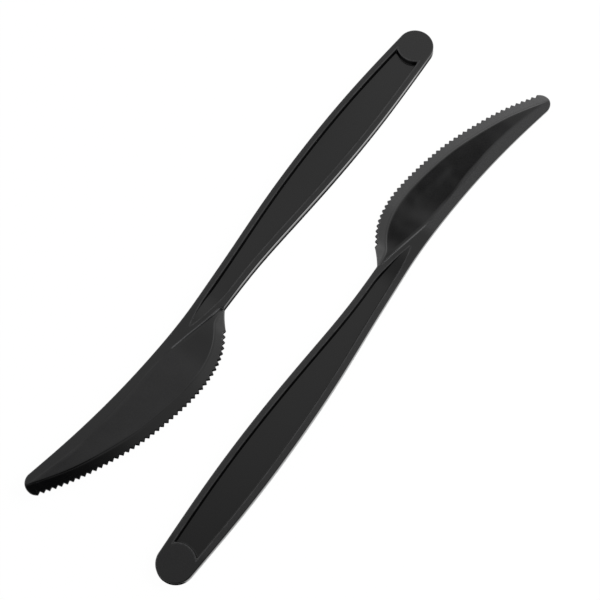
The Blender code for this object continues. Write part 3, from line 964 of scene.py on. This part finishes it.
def split_up(tree, vector):
    """X, Y and Z of a vector."""
    node = tree.nodes.new("ShaderNodeSeparateXYZ")
    feed(tree, node.inputs[0], vector)
    return node.outputs


def attribute(tree, title, output="Fac"):
    node = tree.nodes.new("ShaderNodeAttribute")
    node.attribute_name = title
    return node.outputs[output]


def noise(tree, vector, scale, detail, stretch=(1.0, 1.0, 1.0)):
    node = tree.nodes.new("ShaderNodeTexNoise")
    feed(tree, node.inputs["Vector"], vector_math(tree, "MULTIPLY", vector, stretch).outputs[0])
    node.inputs["Scale"].default_value = scale
    node.inputs["Detail"].default_value = detail
    return node.outputs["Fac"]


def worn_and_lit_rims(tree, along, shares, wear_and_sheen):
    """Wear and painted sheen of the rims, the disc, the back band, the blade face and the bevel."""
    rim_wear_and_sheen, band_sheen, face_sheen, bevel_sheen = wear_and_sheen
    handle = smooth_range(tree, along, *NECK_RUN, rim_wear_and_sheen, NECK_LEVEL)
    blade = smooth_range(tree, along, *BAND_RUN, 0.0, band_sheen - NECK_LEVEL)
    past_disc = smooth_range(tree, along, *DISC_WEAR_AND_SHEEN_RUN)
    return product(
        tree,
        smooth_range(tree, attribute(tree, "lip_mm"), *RIM_STEP),
        shares["top"],
        calc(tree, "ADD", handle, blade),
        between(tree, past_disc, DISC_WORN_AND_LIT, RIM_WORN_AND_LIT),
        between(tree, shares["face"], 1.0, face_sheen),
        between(tree, shares["bevel"], 1.0, bevel_sheen),
    )


def highlight_and_wear_lines(tree, along, place, shares):
    """The strongest of the light lines: painted highlights along the panel's lip and the crease, and
    along the outer edge partly wear, partly painted highlight.
    """
    dashes = noise(tree, place, *DASH_NOISE, DASH_STRETCH)
    past_disc = smooth_range(tree, along, *DISC_WEAR_AND_SHEEN_RUN)
    # Painted highlight along the panel's lip
    lip = ridge(tree, attribute(tree, "lip_mm"), *LIP_LINE)
    lip = product(tree, lip, LIP_PAINTED_HIGHLIGHT, smooth_range(tree, dashes, *DASH_RANGE))
    # Outer edge: partly wear, partly painted highlight
    edge = ridge(tree, attribute(tree, "edge_mm"), *EDGE_LINE)
    on_blade = between(tree, shares["blade"], 1.0, EDGE_ON_BLADE)
    edge = product(tree, edge, EDGE_WEAR_AND_HIGHLIGHT, shares["top"], past_disc, on_blade)
    # Painted highlight along the crease
    crease = ridge(tree, attribute(tree, "crease_mm"), *CREASE_LINE)
    started = smooth_range(tree, along, *CREASE_LINE_START)
    stopped = smooth_range(tree, along, *CREASE_LINE_END, 1.0, 0.0)
    crease = product(tree, crease, CREASE_PAINTED_HIGHLIGHT, started, stopped)
    return calc(tree, "MAXIMUM", lip, calc(tree, "MAXIMUM", edge, crease))


def black_plastic(name, seed, wear_and_sheen):
    """Moulded gloss black polystyrene: smooth panel and blade, rims and edges rubbed dull, lightened
    by wear and painted sheen.
    """
    material = bpy.data.materials.new(name)
    material.use_nodes = True
    tree = material.node_tree
    shader = tree.nodes["Principled BSDF"]
    shader.inputs["IOR"].default_value = PLASTIC_IOR
    knife_place = attribute(tree, "knife_mm", "Vector")
    along = split_up(tree, knife_place)[0]
    place = vector_math(tree, "ADD", knife_place, (seed, 2.0 * seed, 0.0)).outputs[0]
    shares = {key: attribute(tree, key + "_share") for key in ("panel", "face", "bevel", "top")}
    shares["blade"] = smooth_range(tree, along, *BLADE_RUN)
    fine = noise(tree, place, *FINE_NOISE)
    cloud = noise(tree, place, *CLOUD_NOISE)
    wall = calc(tree, "SUBTRACT", 1.0, shares["top"])

    # Painted sheen and wear on rims, band, face and bevel, and painted highlights along the light
    # lines
    rims = worn_and_lit_rims(tree, along, shares, wear_and_sheen)
    worn_and_sheen_share = calc(tree, "MAXIMUM", rims, highlight_and_wear_lines(tree, along, place, shares))
    worn_and_sheen_share = product(tree, worn_and_sheen_share, smooth_range(tree, fine, *FINE_RANGE), shares["top"])
    below = product(tree, wall, SCUFF_BELOW, smooth_range(tree, cloud, *CLOUD_RANGE))
    colour = tree.nodes.new("ShaderNodeMix")
    colour.data_type = "RGBA"
    feed(tree, colour.inputs[0], calc(tree, "ADD", worn_and_sheen_share, below))
    colour.inputs[6].default_value = PLASTIC_CLEAN
    colour.inputs[7].default_value = PLASTIC_WORN_AND_LIT
    feed(tree, shader.inputs["Base Color"], colour.outputs[2])

    smoother = calc(tree, "MAXIMUM", shares["panel"], calc(tree, "MAXIMUM", shares["blade"], wall))
    rough = between(tree, smoother, ROUGH_RIM, ROUGH_PANEL)
    for grain, strength in ((fine, ROUGH_FINE), (cloud, ROUGH_CLOUD)):
        change = product(tree, calc(tree, "SUBTRACT", grain, 0.5), strength)
        rough = calc(tree, "ADD", rough, change)
    feed(tree, shader.inputs["Roughness"], rough)

    waves = noise(tree, place, *WAVE_NOISE, WAVE_STRETCH)
    waves = product(tree, waves, WAVE_HEIGHT, between(tree, shares["face"], WAVE_OFF_FACE, 1.0))
    grain = product(tree, fine, shares["top"], GRAIN_HEIGHT)
    bump = tree.nodes.new("ShaderNodeBump")
    bump.inputs["Distance"].default_value = MM
    feed(tree, bump.inputs["Height"], calc(tree, "ADD", waves, grain))
    feed(tree, shader.inputs["Normal"], bump.outputs[0])
    return material


def put_in_scene(name, data):
    item = bpy.data.objects.new(name, data)
    bpy.context.scene.collection.objects.link(item)
    return item


def add_knife(name, node, turn, twist, nudge, seed, wear_and_sheen):
    """One fine knife over its CAD node, riding on the part's only body."""
    item = put_in_scene(name, knife_mesh(name, node, turn, twist, nudge))
    item.data.materials.append(black_plastic("gloss_black_" + name, seed, wear_and_sheen))
    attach(item, "root")
    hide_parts(node)
    return item


def add_camera():
    data = bpy.data.cameras.new("camera")
    data.sensor_width = CAMERA_SENSOR
    data.lens = CAMERA_LENS
    data.clip_start, data.clip_end = CAMERA_CLIP
    camera = put_in_scene("camera", data)
    camera.matrix_world = (
        Matrix.Translation(CAMERA_AIM)
        @ Matrix.Rotation(CAMERA_TURN, 4, "Z")
        @ Matrix.Rotation(CAMERA_TILT, 4, "X")
        @ Matrix.Translation((0.0, 0.0, CAMERA_DISTANCE))
    )
    bpy.context.scene.camera = camera
    return camera


def floor_light(tree, camera_ray):
    """Plain white to the camera; to other rays, painted shadow and painted light, the level of each
    patch.
    """
    place = tree.nodes.new("ShaderNodeNewGeometry").outputs["Position"]
    places = split_up(tree, place)
    light = 1.0
    # Patches of painted shadow and painted light, seen only by reflections
    for centre, half_size, level in FLOOR_PAINTED_SHADE_AND_LIGHT:
        centre_m, half_m = ([value * MM for value in pair] for pair in (centre, half_size))
        away = calc(tree, "SQRT", squared_distance(tree, places, centre_m, half_m))
        light = calc(tree, "ADD", light, smooth_range(tree, away, *PATCH_EDGE, level - 1.0, 0.0))
    light = product(tree, light, calc(tree, "SUBTRACT", 1.0, camera_ray))
    return calc(tree, "ADD", light, camera_ray)


def white_floor():
    """White to the eye, and in reflections white with patches of painted shadow and light, and still
    shaded by the knives.
    """
    material = bpy.data.materials.new("white_floor")
    material.use_nodes = True
    tree = material.node_tree
    tree.nodes.clear()
    out = tree.nodes.new("ShaderNodeOutputMaterial")
    diffuse = tree.nodes.new("ShaderNodeBsdfDiffuse")
    diffuse.inputs["Color"].default_value = FLOOR_COLOUR
    glow = tree.nodes.new("ShaderNodeEmission")
    mix = tree.nodes.new("ShaderNodeMixShader")
    rays = tree.nodes.new("ShaderNodeLightPath").outputs
    seen = product(tree, rays["Is Camera Ray"], FLOOR_WHITE_SEEN)
    clear = calc(tree, "MAXIMUM", rays["Is Glossy Ray"], rays["Is Transmission Ray"])
    feed(tree, glow.inputs["Strength"], floor_light(tree, rays["Is Camera Ray"]))
    feed(tree, mix.inputs[0], calc(tree, "MAXIMUM", seen, clear))
    feed(tree, mix.inputs[1], diffuse.outputs[0])
    feed(tree, mix.inputs[2], glow.outputs[0])
    feed(tree, out.inputs["Surface"], mix.outputs[0])
    return material


def add_floor():
    data = bpy.data.meshes.new("floor")
    half = FLOOR_HALF
    corners = [(-half, -half, 0), (half, -half, 0), (half, half, 0), (-half, half, 0)]
    data.from_pydata(corners, [], [(0, 1, 2, 3)])
    data.materials.append(white_floor())
    floor = put_in_scene("floor", data)
    floor.location.z = -FLOOR_GAP
    return floor


def add_world():
    """Studio surroundings by direction: degrees from the zenith to the photo's right and top."""
    world = bpy.data.worlds.new("studio")
    world.use_nodes = True
    bpy.context.scene.world = world
    tree = world.node_tree
    direction = tree.nodes.new("ShaderNodeTexCoord").outputs["Generated"]
    height = dot(tree, direction, (0.0, 0.0, 1.0))
    places = []
    for axis in (PHOTO_RIGHT, PHOTO_TOP):
        angle = calc(tree, "ARCTAN2", dot(tree, direction, axis), height)
        places.append(calc(tree, "DEGREES", angle))
    light = smooth_range(tree, places[1], *WORLD_RISE)
    for centre, spread, strength in WORLD_LOBES:
        light = calc(tree, "ADD", light, lobe(tree, places, centre, spread, strength))
    above = calc(tree, "MAXIMUM", calc(tree, "SUBTRACT", places[1], WORLD_GAP_CENTRE[1]), 0.0)
    away = squared_distance(tree, (places[0], above), (WORLD_GAP_CENTRE[0], 0.0), (1.0, 1.0))
    gap = smooth_range(tree, calc(tree, "SQRT", away), *WORLD_GAP_EDGE)
    light = calc(tree, "MAXIMUM", product(tree, light, gap), WORLD_DARKEST)
    background = tree.nodes["Background"]
    feed(tree, background.inputs["Strength"], light)
    background.inputs["Color"].default_value = (1.0, 1.0, 1.0, 1.0)


def add_lamp(name, right, top, distance, size, power):
    """A square soft lamp, placed by its degrees from the zenith to the photo's right and top."""
    data = bpy.data.lights.new(name, "AREA")
    data.shape = "SQUARE"
    data.size = size
    data.energy = power
    lamp = put_in_scene(name, data)
    towards = (
        Vector(PHOTO_RIGHT) * math.tan(math.radians(right))
        + Vector(PHOTO_TOP) * math.tan(math.radians(top))
        + Vector((0.0, 0.0, 1.0))
    ).normalized()
    lamp.location = towards * distance
    lamp.rotation_euler = towards.to_track_quat("Z", "Y").to_euler()
    lamp.visible_glossy = False
    return lamp


def main():
    bpy.context.scene.view_settings.view_transform = "Standard"
    add_camera()
    add_world()
    for lamp in LAMPS:
        add_lamp(*lamp)
    add_floor()
    for knife in KNIVES:
        add_knife(*knife)


main()
